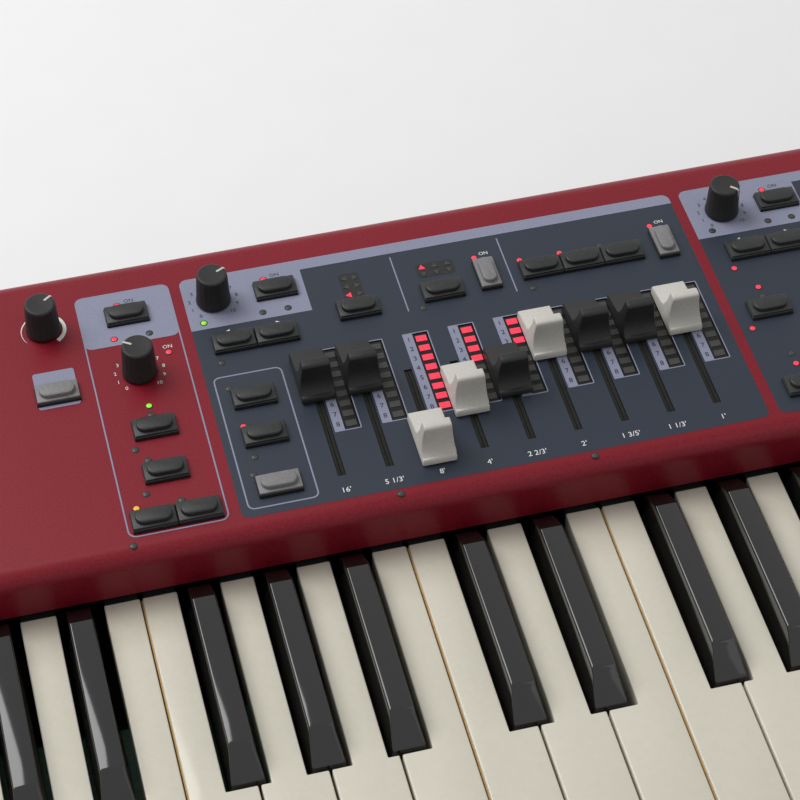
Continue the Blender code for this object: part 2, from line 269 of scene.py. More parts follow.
PAINT = Finish("red_paint", (0.158, 0.004, 0.011), (0.212, 0.011, 0.022), 1500.0, 6.0, 0.36, 0.08, 0.3, 0.04,
               specular=0.2)
BRUSH = Finish("brush_lips", (0.016, 0.016, 0.014), (0.026, 0.026, 0.023), 2500.0, 60.0, 0.8, 0.1, 0.5, 0.05,
               specular=0.1)
AMBER = Finish("amber_sides", (0.38, 0.22, 0.06), (0.46, 0.28, 0.09), 500.0, 20.0, 0.35)
CHARCOAL = Finish("charcoal_powder_coat", (0.018, 0.018, 0.02), (0.03, 0.03, 0.033), 1200.0, 8.0, 0.5)
PAN = Finish("pan_powder_coat", (0.05, 0.05, 0.053), (0.075, 0.075, 0.08), 1000.0, 6.0, 0.55)
BLACK = Finish("black_moulding", (0.018, 0.0185, 0.019), (0.03, 0.031, 0.031), 1300.0, 30.0, 0.38, 0.1, 0.2)
KNOB_BLACK = Finish("knob_black", (0.011, 0.011, 0.011), (0.02, 0.02, 0.02), 1600.0, 40.0, 0.48, 0.1, 0.3)
GREY = Finish("grey_moulding", (0.17, 0.165, 0.165), (0.21, 0.205, 0.205), 1300.0, 30.0, 0.4)
BONE = Finish("white_moulding", (0.50, 0.48, 0.44), (0.56, 0.54, 0.50), 1300.0, 30.0, 0.36, 0.1, 0.12)
IVORY = Finish("ivory_keys", (0.60, 0.57, 0.475), (0.62, 0.59, 0.495), 500.0, 9.0, 0.2, 0.05, 0.02, 0.02, 0.0, 0.2)
EBONY = Finish("ebony_keys", (0.004, 0.004, 0.004), (0.006, 0.006, 0.006), 600.0, 12.0, 0.08, 0.04, 0.015, 0.02,
               specular=0.5)
SMOKE = Finish("dark_lens", (0.010, 0.010, 0.0095), (0.014, 0.014, 0.013), 600.0, 20.0, 0.3, 0.05, 0.03,
               specular=0.15)
BOARD = Finish("solder_resist", (0.008, 0.075, 0.035), (0.014, 0.11, 0.05), 400.0, 60.0, 0.4)
TIN = Finish("tin_plate", (0.5, 0.5, 0.51), (0.62, 0.62, 0.63), 500.0, 15.0, 0.34, 0.15, 0.2, 0.03, 1.0)
RUBBER = Finish("soft_rubber", (0.014, 0.014, 0.014), (0.025, 0.025, 0.025), 800.0, 20.0, 0.8, 0.1, 0.4)
NICKEL = Finish("nickel_rim", (0.55, 0.54, 0.52), (0.66, 0.65, 0.62), 700.0, 30.0, 0.25, 0.1, 0.1, 0.02, 1.0)


def ink(colour: Ink) -> Finish:
    """The finish of one printing ink."""
    light = tuple(min(1.0, part * 1.14) for part in colour.value)
    return Finish("ink_" + colour.name.lower(), colour.value, light, 1500.0, 8.0, 0.44, 0.08, 0.3, 0.03)


CAD_FINISHES: dict[str, Finish] = {
    "bottom_pan": PAN, "rear_panel": CHARCOAL, "keybed_frame": PAN, "key_contact_board": BOARD,
    "key_stop_rail": PAN, "key_pivot_rail": PAN, "control_board": BOARD, "main_board": BOARD,
    "power_supply": TIN, "jack_bar": CHARCOAL, "power_inlet": BLACK, "ladder_lens": SMOKE,
    "power_switch": BLACK, "front_rail": PAINT,
}


def settle(name: str, bm: bmesh.types.BMesh, body: str, finish: Finish | LampFinish,
           stands_for: Iterable[str] = (), smooth: float = 40.0) -> bpy.types.Object:
    """Turn a bmesh in millimetres into a finished piece that rides on a body.

    Args:
        name: the piece's name.
        bm: its shape in millimetres, in place.
        body: the body that carries it.
        finish: its finish.
        stands_for: CAD nodes that it replaces.
        smooth: the angle in degrees above which an edge stays sharp.

    Returns:
        The new object.
    """
    bmesh.ops.recalc_face_normals(bm, faces=bm.faces)
    bmesh.ops.scale(bm, vec=(MM, MM, MM), verts=bm.verts)
    mesh = bpy.data.meshes.new(name)
    bm.to_mesh(mesh)
    bm.free()
    mesh.shade_smooth()
    mesh.set_sharp_from_angle(angle=math.radians(smooth))
    mesh.materials.append(finish.make())
    made = bpy.data.objects.new(name, mesh)
    bpy.context.scene.collection.objects.link(made)
    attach(made, body)
    for node in stands_for:
        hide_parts(node)
    LOG.info("%s rides on %s", name, body)
    return made


def carve(piece: bpy.types.Object, tools: bmesh.types.BMesh) -> None:
    """Cut a piece by the solids of a bmesh in millimetres, exactly, and keep the result."""
    bmesh.ops.recalc_face_normals(tools, faces=tools.faces)
    bmesh.ops.scale(tools, vec=(MM, MM, MM), verts=tools.verts)
    mesh = bpy.data.meshes.new("cutter")
    tools.to_mesh(mesh)
    tools.free()
    cutter = bpy.data.objects.new("cutter", mesh)
    bpy.context.scene.collection.objects.link(cutter)
    step = piece.modifiers.new("cut", "BOOLEAN")
    step.operation = "DIFFERENCE"
    step.solver = "EXACT"
    step.object = cutter
    bpy.context.view_layer.update()
    seen = piece.evaluated_get(bpy.context.evaluated_depsgraph_get())
    cut = bpy.data.meshes.new_from_object(seen)
    piece.modifiers.clear()
    piece.data = cut
    bpy.data.objects.remove(cutter, do_unlink=True)
    cut.shade_smooth()
    cut.set_sharp_from_angle(angle=math.radians(30))


def box(bm: bmesh.types.BMesh, x: Span, y: Span, z: Span, soft: float = 0.0, steps: int = 2) -> None:
    """Add a box, with its edges rounded where soft is given.

    Args:
        bm: the bmesh that takes it.
        x: its two ends along X.
        y: its two ends along Y.
        z: its two ends along Z.
        soft: edge radius.
        steps: segments of the rounding.
    """
    centre = Vector(((x[0] + x[1]) / 2, (y[0] + y[1]) / 2, (z[0] + z[1]) / 2))
    size = Matrix.Diagonal((x[1] - x[0], y[1] - y[0], z[1] - z[0], 1.0))
    made = bmesh.ops.create_cube(bm, size=1.0, matrix=Matrix.Translation(centre) @ size)
    if soft > 0.0:
        edges = list({edge for vert in made["verts"] for edge in vert.link_edges})
        bmesh.ops.bevel(bm, geom=edges, offset=soft, segments=steps, affect="EDGES", profile=0.5, material=-1)


def extruded(bm: bmesh.types.BMesh, points: Sequence[Vector], way: Vector) -> list[bmesh.types.BMVert]:
    """Add a closed outline extruded along a vector, and hand back its corners."""
    first = [bm.verts.new(point) for point in points]
    grown = bmesh.ops.extrude_face_region(bm, geom=[bm.faces.new(first)])
    second = [item for item in grown["geom"] if isinstance(item, bmesh.types.BMVert)]
    bmesh.ops.translate(bm, vec=way, verts=second)
    return first + second


def prism(bm: bmesh.types.BMesh, outline: Sequence[Point], x: Span) -> list[bmesh.types.BMVert]:
    """Add an outline of (y, z) points extruded along X."""
    return extruded(bm, [Vector((x[0], y, z)) for y, z in outline], Vector((x[1] - x[0], 0.0, 0.0)))


def plate(bm: bmesh.types.BMesh, outline: Sequence[Point], z: Span) -> list[bmesh.types.BMVert]:
    """Add an outline of (x, y) points extruded along Z."""
    return extruded(bm, [Vector((x, y, z[0])) for x, y in outline], Vector((0.0, 0.0, z[1] - z[0])))


def arc(centre: Point, radius: float, first: float, last: float, steps: int) -> list[Point]:
    """Points on a round stretch between two angles in degrees."""
    angles = [math.radians(first + (last - first) * n / steps) for n in range(steps + 1)]
    return [(centre[0] + radius * math.cos(a), centre[1] + radius * math.sin(a)) for a in angles]


def rounded(u: Span, v: Span, radius: float) -> list[Point]:
    """Outline of a rounded rectangle on the panel, given in u and v."""
    x, y = (across(u[0]), across(u[1])), (along(v[0]), along(v[1]))
    corners = (((x[1], y[1]), 0.0), ((x[0], y[1]), 90.0), ((x[0], y[0]), 180.0), ((x[1], y[0]), 270.0))
    points: list[Point] = []
    for (cx, cy), start in corners:
        inward = (cx - radius if cx == x[1] else cx + radius, cy - radius if cy == y[1] else cy + radius)
        points += arc(inward, radius, start, start + 90.0, 4)
    return points


def frame_line(bm: bmesh.types.BMesh, outline: Sequence[Point], width: float, z: Span) -> None:
    """Add a printed line that runs round inside a closed outline."""
    face = bm.faces.new([bm.verts.new((x, y, z[0])) for x, y in outline])
    face.normal_update()
    ring = bmesh.ops.inset_region(bm, faces=[face], thickness=width, use_even_offset=True,
                                    use_boundary=True)["faces"]
    bmesh.ops.delete(bm, geom=[face], context="FACES_ONLY")
    grown = bmesh.ops.extrude_face_region(bm, geom=ring)
    lifted = [item for item in grown["geom"] if isinstance(item, bmesh.types.BMVert)]
    bmesh.ops.translate(bm, vec=(0.0, 0.0, z[1] - z[0]), verts=lifted)


def turned(bm: bmesh.types.BMesh, profile: Sequence[Point], centre: Point, base: float, steps: int = 32) -> None:
    """Add a turned solid from (radius, height) points whose ends lie on the axis."""
    chain = [bm.verts.new((centre[0] + r, centre[1], base + h)) for r, h in profile]
    edges = [bm.edges.new(pair) for pair in zip(chain, chain[1:])]
    bmesh.ops.spin(bm, geom=chain + edges, cent=(centre[0], centre[1], 0.0), axis=(0.0, 0.0, 1.0),
                   angle=math.tau, steps=steps, use_merge=True, use_duplicate=False)
    bmesh.ops.remove_doubles(bm, verts=bm.verts, dist=0.0005)


def lettering(bm: bmesh.types.BMesh, text: str, height: float, u: float, v: float, lift: float = 0.06) -> None:
    """Add generic characters, such as a digit, flat on the panel.

    Args:
        bm: the bmesh that takes them.
        text: the characters.
        height: height of a digit in millimetres.
        u: their middle across the panel.
        v: their middle along the panel.
        lift: height of their lower face above the sheet.
    """
    curve = bpy.data.curves.new("characters", "FONT")
    curve.body = text
    curve.size = height * 1.42
    curve.align_x = "CENTER"
    curve.align_y = "CENTER"
    curve.extrude = INK / 2
    curve.resolution_u = 3
    holder = bpy.data.objects.new("characters", curve)
    bpy.context.scene.collection.objects.link(holder)
    bpy.context.view_layer.update()
    mesh = bpy.data.meshes.new_from_object(holder.evaluated_get(bpy.context.evaluated_depsgraph_get()))
    mesh.transform(Matrix.Translation((across(u), along(v), PANEL_TOP + lift + INK / 2)))
    bm.from_mesh(mesh)
    bpy.data.objects.remove(holder, do_unlink=True)
    bpy.data.meshes.remove(mesh)


@dataclass
class Case:
    """Top panel, end cheeks and feet."""

    inner: float = 424.9
    cheek_inner: float = 425.2
    half_width: float = 450.0
    front_roll: float = 6.0
    rear_roll: float = 8.0

    def outline(self) -> list[Point]:
        """Section of the folded panel."""
        front = (SKIRT + self.front_roll, PANEL_TOP - self.front_roll)
        rear = (REAR - self.rear_roll, PANEL_TOP - self.rear_roll)
        outer = ([(SKIRT, 65.0)] + arc(front, self.front_roll, 180, 90, 12)
                 + arc(rear, self.rear_roll, 90, 0, 12) + [(REAR, 58.3)])
        inner = ([(REAR - SHEET, 58.3)] + arc(rear, self.rear_roll - SHEET, 0, 90, 12)
                 + arc(front, self.front_roll - SHEET, 90, 180, 12) + [(SKIRT + SHEET, 65.0)])
        return outer + inner

    def build(self, cutters: Callable[[], bmesh.types.BMesh]) -> None:
        """Build the panel, the cheeks and the feet."""
        bm = bmesh.new()
        prism(bm, self.outline(), (-self.inner, self.inner))
        panel = settle("panel_sheet", bm, "root", PAINT, ["top_panel"], 30.0)
        carve(panel, cutters())
        # Painted shade: the walls of the holes cut through the red sheet take the black moulding, so the openings read
        # as dark gaps.
        panel.data.materials.append(BLACK.make())
        for face in panel.data.polygons:
            inside = 8.0 * MM < face.center.y < 130.0 * MM and abs(face.normal.z) < 0.5
            face.material_index = 1 if inside and abs(face.center.x) < self.inner * MM - MM else 0
        side = [(-REAR, 6.0), (-REAR, 60.0), *arc((-REAR + 8.0, 60.0), 8.0, 180, 90, 8), (-14.0, 68.0),
                (-6.0, 70.0), (-0.5, 78.0), (5.0, PANEL_TOP), *arc((REAR - 8.0, 76.0), 8.0, 90, 0, 8), (REAR, 6.0)]
        for name, ends in (("left_cheek", (-self.half_width, -self.cheek_inner)),
                           ("right_cheek", (self.cheek_inner, self.half_width))):
            bm = bmesh.new()
            prism(bm, side, ends)
            rims = [edge for edge in bm.edges if abs(edge.verts[0].co.x - edge.verts[1].co.x) < 0.01]
            bmesh.ops.bevel(bm, geom=rims, offset=1.2, segments=3, affect="EDGES", profile=0.5, material=-1)
            settle(name + "_shell", bm, "root", PAINT, [name], 30.0)
        for n in range(4):
            low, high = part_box("foot_%d" % (n + 1))
            middle = ((low[0] + high[0]) / 2 / MM, (low[1] + high[1]) / 2 / MM)
            bm = bmesh.new()
            turned(bm, [(0, 0), (9.2, 0), (10.0, 0.8), (11.8, 4.6), (11.8, 5.7), (0, 5.7)], middle, 0.0)
            settle("foot_%d_pad" % (n + 1), bm, "root", RUBBER, ["foot_%d" % (n + 1)])

    def dress(self) -> None:
        """Give the CAD nodes that stay their finishes."""
        for node, finish in CAD_FINISHES.items():
            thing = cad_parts[node]
            thing.data.materials.clear()
            thing.data.materials.append(finish.make())
            LOG.info("%s keeps its solid", node)


@dataclass
class Printing:
    """Printed fields, lines, digits and marks on the panel."""

    sections: tuple[tuple[Span, float], ...] = (((109.2, 300.3), 154.4), ((304.2, 430.0), 349.0),
                                                ((436.0, 590.0), 436.0), ((596.0, 842.0), 596.0))
    line: float = 0.55

    def build(self, bars: "Drawbars", knobs: "Knobs", cutters: Callable[[], bmesh.types.BMesh]) -> None:
        """Print the panel.

        Args:
            bars: the drawbars, whose ladders are framed and numbered.
            knobs: the knobs, whose dials are numbered.
            cutters: makes the solids that open the holes in each field.
        """
        slate = bmesh.new()
        for span, _ in self.sections:
            plate(slate, rounded(span, (FIELD_LOW, HEADER_TOP), 3.0), (PANEL_TOP, PANEL_TOP + INK))
        carve(settle("slate_fields", slate, "root", ink(Ink.SLATE)), cutters())
        second = (PANEL_TOP + INK, PANEL_TOP + 2 * INK)
        header = bmesh.new()
        plate(header, rounded((70.0, 105.2), (HEADER_LOW, HEADER_TOP), 3.0), (PANEL_TOP, second[1]))
        for span, block in self.sections:
            top = [(across(span[0]), along(BAND_LOW))] if block <= span[0] else [
                (across(span[0]), along(HEADER_LOW)), (across(block), along(HEADER_LOW)),
                (across(block), along(BAND_LOW))]
            right, left = (across(span[1]) - 3.0, along(HEADER_TOP) - 3.0), (across(span[0]) + 3.0, along(HEADER_TOP) - 3.0)
            plate(header, top + [(across(span[1]), along(BAND_LOW))] + arc(right, 3.0, 0, 90, 4)
                  + arc(left, 3.0, 90, 180, 4), second)
        plate(header, rounded((49.5, 64.5), (73.6, 91.2), 1.0), (PANEL_TOP, second[1]))
        for n in range(len(bars.positions)):
            slot = bars.first + bars.pitch * n
            plate(header, rounded((slot + 2.2, slot + 5.95), (38.0, 77.8), 0.3), second)
        carve(settle("lavender_fields", header, "root", ink(Ink.LAVENDER)), cutters())
        self.lines(bars)
        self.characters(bars, knobs)

    def lines(self, bars: "Drawbars") -> None:
        """Print the thin outlines, dividers, arrows and the crescent."""
        bm = bmesh.new()
        level = (PANEL_TOP + 0.3 * INK, PANEL_TOP + 2.4 * INK)
        frame_line(bm, rounded((70.0, 105.2), (8.7, HEADER_TOP), 3.0), self.line, level)
        frame_line(bm, rounded((111.9, 137.2), (10.8, 73.6), 2.5), self.line, level)
        for u in (188.6, 230.1):
            plate(bm, rounded((u - 0.25, u + 0.25), (88.6, 117.4), 0.1), level)
        for n in range(len(bars.positions)):
            slot = bars.first + bars.pitch * n
            frame_line(bm, rounded((slot + 2.2, slot + 11.97), (38.0, 77.8), 0.6), 0.4, level)
        settle("thin_lines", bm, "root", ink(Ink.LAVENDER))
        bm = bmesh.new()
        for u, v, turn in ((122.0, 95.0, 180), (141.0, 95.0, 0), (318.6, 94.4, 180), (338.0, 94.4, 0)):
            tip = [(1.1, 0.0), (-0.9, 0.9), (-0.9, -0.9)]
            spun = [(x * math.cos(math.radians(turn)), y) for x, y in tip]
            plate(bm, [(across(u) + x, along(v) + y) for x, y in spun], level)
        middle = (across(57.0), along(111.9))
        outer = arc(middle, 8.3, -55.0, 215.0, 40)
        inner = [(middle[0] + r * math.cos(a), middle[1] + r * math.sin(a)) for r, a in (
            (8.3 - 1.5 * (1.0 - n / 40.0) - 0.08, math.radians(-55.0 + 270.0 * n / 40.0)) for n in range(40, -1, -1))]
        plate(bm, outer + inner, level)
        settle("white_marks", bm, "root", ink(Ink.WHITE))

    def characters(self, bars: "Drawbars", knobs: "Knobs") -> None:
        """Print the pipe lengths, ladder digits, dial digits and the word ON."""
        white, dark = bmesh.new(), bmesh.new()
        for n, words in enumerate(("16'", "5 1/3'", "8'", "4'", "2 2/3'", "2'", "1 3/5'", "1 1/3'", "1'")):
            lettering(white, words, 2.2, bars.first + bars.pitch * n, 11.6)
            for cell in range(8):
                lettering(dark, str(cell + 1), 2.1, bars.first + bars.pitch * n + 4.05, 74.7 - 4.77 * cell, 0.11)
        for name in ("drive_knob", "organ_level_knob", "piano_level_knob", "effect_knob_1", "effect_knob_2"):
            u, v = knobs.places[name][:2]
            for digit in range(11):
                angle = math.radians(228.0 - 27.6 * digit)
                on_header = name in ("organ_level_knob", "piano_level_knob")
                lettering(dark if on_header else white, str(digit), 1.6, u + 8.9 * math.cos(angle), v + 8.9 * math.sin(angle), 0.11)
        for u, v in ((89.6, 119.2), (144.6, 119.0), (341.0, 119.0)):
            lettering(dark, "ON", 1.6, u, v, 0.11)
        for u, v in ((99.3, 93.0), (223.2, 110.9), (292.3, 110.9)):
            lettering(white, "ON", 1.6, u, v, 0.06)
        for n, (u, v) in enumerate(Buttons().groups["program_buttons"][0]):
            lettering(white, str(n + 1), 2.0, u, v + 7.4)
        settle("white_characters", white, "root", ink(Ink.WHITE))
        settle("dark_characters", dark, "root", ink(Ink.DARK))


@dataclass
class Drawbars:
    """Nine drawbars with their ladders of lamps."""

    first: float = 146.64
    pitch: float = 17.16
    inward: float = 53.1
    step: float = 4.775
    positions: tuple[int, ...] = (0, 0, 8, 4, 3, 0, 0, 0, 0)
    black: tuple[int, ...] = (0, 1, 4, 6, 7)
    lit: dict[int, int] = field(default_factory=lambda: {2: 8, 3: 4, 4: 3})

    def side(self) -> list[Point]:
        """Side view of a cap: lip, scooped face, block and tongue, as (y, z) from the lip's foot."""
        steps = 10
        scoop = [(1.3 + 2.1 * n / steps + 1.3 * math.sin(math.pi * n / steps), 2.5 + 11.6 * (n / steps) ** 1.3)
                 for n in range(steps)]
        return [(0.0, 0.0), (0.0, 1.7), (0.5, 2.4), *scoop, *arc((4.6, 14.2), 1.2, 180, 90, 4),
                *arc((6.6, 14.6), 0.8, 90, 0, 3), (8.3, 10.4), (10.4, 6.2), (12.0, 5.4), (22.0, 3.5), (22.7, 2.6),
                (22.7, 0.0)]

    def build(self) -> None:
        """Build every cap with its stem, and the ladders' cells."""
        base = PANEL_TOP + 0.6
        for n, position in enumerate(self.positions):
            x = across(self.first + self.pitch * n)
            lip = along(self.inward - self.step * position)
            bm = bmesh.new()
            corners = prism(bm, [(lip + y, base + z) for y, z in self.side()], (x - 6.2, x + 6.2))
            for corner in corners:
                rise = min(1.0, max(0.0, (corner.co.z - base - 3.0) / 12.4))
                corner.co.x = x + (corner.co.x - x) * (1.0 - 0.2 * rise)
            bmesh.ops.recalc_face_normals(bm, faces=bm.faces)
            rims = [edge for edge in bm.edges if edge.calc_face_angle() > math.radians(50)
                    and max(end.co.z for end in edge.verts) > base + 0.5]
            bmesh.ops.bevel(bm, geom=rims, offset=0.5, segments=3, affect="EDGES", profile=0.5, material=-1,
                            clamp_overlap=True)
            box(bm, (x - 1.1, x + 1.1), (lip + 4.5, lip + 7.2), (76.0, base + 0.2))
            box(bm, (x - 4.6, x + 4.6), (lip - 2.0, lip + 14.0), (75.0, 80.5), 0.4)
            dark = n in self.black
            name = "drawbar_%d" % (n + 1)
            settle(name + "_cap", bm, name, KNOB_BLACK if dark else BONE,
                   [name], 35.0)
        cells = {True: bmesh.new(), False: bmesh.new()}
        lips = bmesh.new()
        for n in range(len(self.positions)):
            slot = across(self.first + self.pitch * n)
            for cell in range(8):
                y = along(74.7 - 4.77 * cell)
                box(cells[cell < self.lit.get(n, 0)], (slot + 6.75, slot + 10.75), (y - 1.4, y + 1.4), (83.7, 83.9), 0.08, 1)
            for side in (-1.0, 1.0):
                ends = sorted((slot + side * 0.09, slot + side * 1.45))
                box(lips, (ends[0], ends[1]), (along(18.4), along(60.7)), (82.4, 83.4), 0.12, 1)
        settle("ladder_cells_lit", cells[True], "root", LampFinish("cell_red", LampState.RED))
        settle("ladder_cells_off", cells[False], "root", LampFinish("cell_off", LampState.OFF))
        settle("slot_brushes", lips, "root", BRUSH)


@dataclass
class Knobs:
    """Fluted knobs, each with a pointer line: place on the panel and pointer angle."""

    places: dict[str, tuple[float, float, float]] = field(default_factory=lambda: {
        "master_knob": (57.0, 111.9, 36.0), "drive_knob": (87.4, 83.0, 146.0),
        "organ_level_knob": (120.1, 111.4, 25.5), "piano_level_knob": (317.5, 110.5, -44.0),
        "program_dial": (560.0, 96.0, 90.0), "effect_knob_1": (642.0, 104.0, 90.0),
        "effect_knob_2": (730.0, 104.0, 90.0)})
    flutes: int = 18

    def build(self) -> None:
        """Build each knob and its pointer."""
        profile = [(0, 0), (6.2, 0), (6.45, 0.3), (6.45, 1.2), (6.25, 1.7), (5.75, 12.6), (5.5, 13.3), (5.0, 13.65),
                   (4.6, 13.6), (0, 13.45)]
        for name, (u, v, angle) in self.places.items():
            centre = (across(u), along(v))
            bm = bmesh.new()
            turned(bm, profile, centre, PANEL_TOP + 0.5, self.flutes * 4)
            for vert in bm.verts:
                out = vert.co - Vector((*centre, vert.co.z))
                high = vert.co.z - PANEL_TOP
                if out.length > 5.3 and 2.6 < high < 13.2:
                    wave = 0.5 + 0.5 * math.cos(self.flutes * math.atan2(out.y, out.x))
                    vert.co -= out.normalized() * 0.22 * wave
            turned(bm, [(0, -10.4), (2.9, -10.4), (2.9, 0.4), (0, 0.4)], centre, PANEL_TOP + 0.2, 16)
            settle(name + "_cap", bm, name, KNOB_BLACK, [name], 50.0)
            bm = bmesh.new()
            box(bm, (2.2, 5.3), (-0.42, 0.42), (13.2, 13.72), 0.05, 1)
            box(bm, (5.25, 5.75), (-0.42, 0.42), (7.0, 13.4), 0.05, 1)
            turn = Matrix.Translation((*centre, PANEL_TOP + 0.5)) @ Matrix.Rotation(math.radians(angle), 4, "Z")
            bmesh.ops.transform(bm, matrix=turn, verts=bm.verts)
            settle(name + "_pointer", bm, name, BONE)


@dataclass
class Buttons:
    """Groups of push buttons: lying blocks, upright blocks and the webs that carry them."""

    block: Point = (15.6, 8.8)
    upright: Point = (8.0, 15.0)
    groups: dict[str, tuple[list[Point], list[Point], list[tuple[float, float, float, float]]]] = field(
        default_factory=lambda: {
            "label_button": ([(57.0, 79.6)], [], [(50.0, 64.0, 76.0, 83.0)]),
            "rotary_buttons": ([(87.7, 111.8), (87.7, 55.5), (87.7, 35.0), (79.8, 14.7), (95.6, 14.7)], [],
                               [(92.3, 95.3, 13.0, 113.0), (76.0, 98.0, 12.7, 16.7)]),
            "organ_buttons": ([(143.4, 111.4), (123.2, 89.0), (139.1, 89.0)], [],
                              [(137.0, 145.0, 87.0, 113.0), (120.0, 141.0, 87.0, 91.0)]),
            "preset_buttons": ([(124.6, 61.2), (124.6, 42.8), (124.6, 19.5)], [], [(121.0, 128.0, 17.0, 63.0)]),
            "model_button": ([(171.0, 94.3)], [], [(165.0, 177.0, 91.5, 97.0)]),
            "vibrato_buttons": ([(203.4, 95.7)], [(221.6, 99.6)], [(203.0, 222.0, 95.0, 98.5)]),
            "percussion_buttons": ([(242.0, 97.9), (257.85, 97.9), (273.7, 97.9)], [(290.8, 99.5)],
                                   [(242.0, 291.0, 96.0, 100.0)]),
            "piano_buttons": ([(339.8, 110.9), (320.2, 88.5), (336.0, 88.5), (317.7, 57.7), (317.7, 18.7)], [],
                              [(315.5, 320.0, 17.0, 90.0), (318.0, 341.0, 86.5, 90.5), (334.0, 341.0, 87.0, 112.0)]),
            "program_buttons": ([(462.0 + 24.0 * (n % 4), 52.0 - 26.0 * (n // 4)) for n in range(8)], [],
                                [(460.0, 536.0, 50.0, 54.0), (460.0, 536.0, 24.0, 28.0), (460.0, 464.0, 24.0, 54.0)]),
            "effect_buttons": ([(620.0 + 44.0 * (n % 5), 62.0 - 34.0 * (n // 5)) for n in range(10)], [],
                               [(618.0, 798.0, 60.0, 64.0), (618.0, 798.0, 26.0, 30.0), (618.0, 622.0, 26.0, 64.0)]),
        })
    grey_places: tuple[Point, ...] = ((57.0, 79.6), (124.6, 19.5), (221.6, 99.6), (290.8, 99.5))

    def one(self, base: bmesh.types.BMesh, bm: bmesh.types.BMesh, u: float, v: float, size: Point) -> None:
        """Add one button: dark base, soft block and obround finger pad."""
        x, y = across(u), along(v)
        half = (size[0] / 2, size[1] / 2)
        box(base, (x - half[0], x + half[0]), (y - half[1], y + half[1]), (77.9, 85.5), 0.2, 1)
        top = (half[0] - 0.15, half[1] - 0.15)
        box(bm, (x - top[0], x + top[0]), (y - top[1] + 0.1, y + top[1]), (85.3, 86.2), 0.35, 2)
        inset = 1.35
        pad = (half[0] - inset, half[1] - inset)
        radius = min(pad) * 0.98
        top = plate(bm, rounded((u - pad[0], u + pad[0]), (v - pad[1], v + pad[1]), radius), (86.0, 87.9))
        rim = [edge for vert in top for edge in vert.link_edges
               if all(end.co.z > 87.8 for end in edge.verts)]
        bmesh.ops.bevel(bm, geom=list(set(rim)), offset=0.6, segments=3, affect="EDGES", profile=0.5, material=-1)

    def build(self) -> None:
        """Build each group, the grey buttons as pieces of their own."""
        for name, (lying, upright, strips) in self.groups.items():
            black, grey = bmesh.new(), bmesh.new()
            for u0, u1, v0, v1 in strips:
                box(black, (across(u0), across(u1)), (along(v0), along(v1)), (77.5, 79.5))
            for places, size in ((lying, self.block), (upright, self.upright)):
                for u, v in places:
                    self.one(black, grey if (u, v) in self.grey_places else black, u, v, size)
            settle(name + "_set", black, name, BLACK, [name], 35.0)
            if grey.verts:
                settle(name + "_grey", grey, name, GREY, (), 35.0)
            else:
                grey.free()


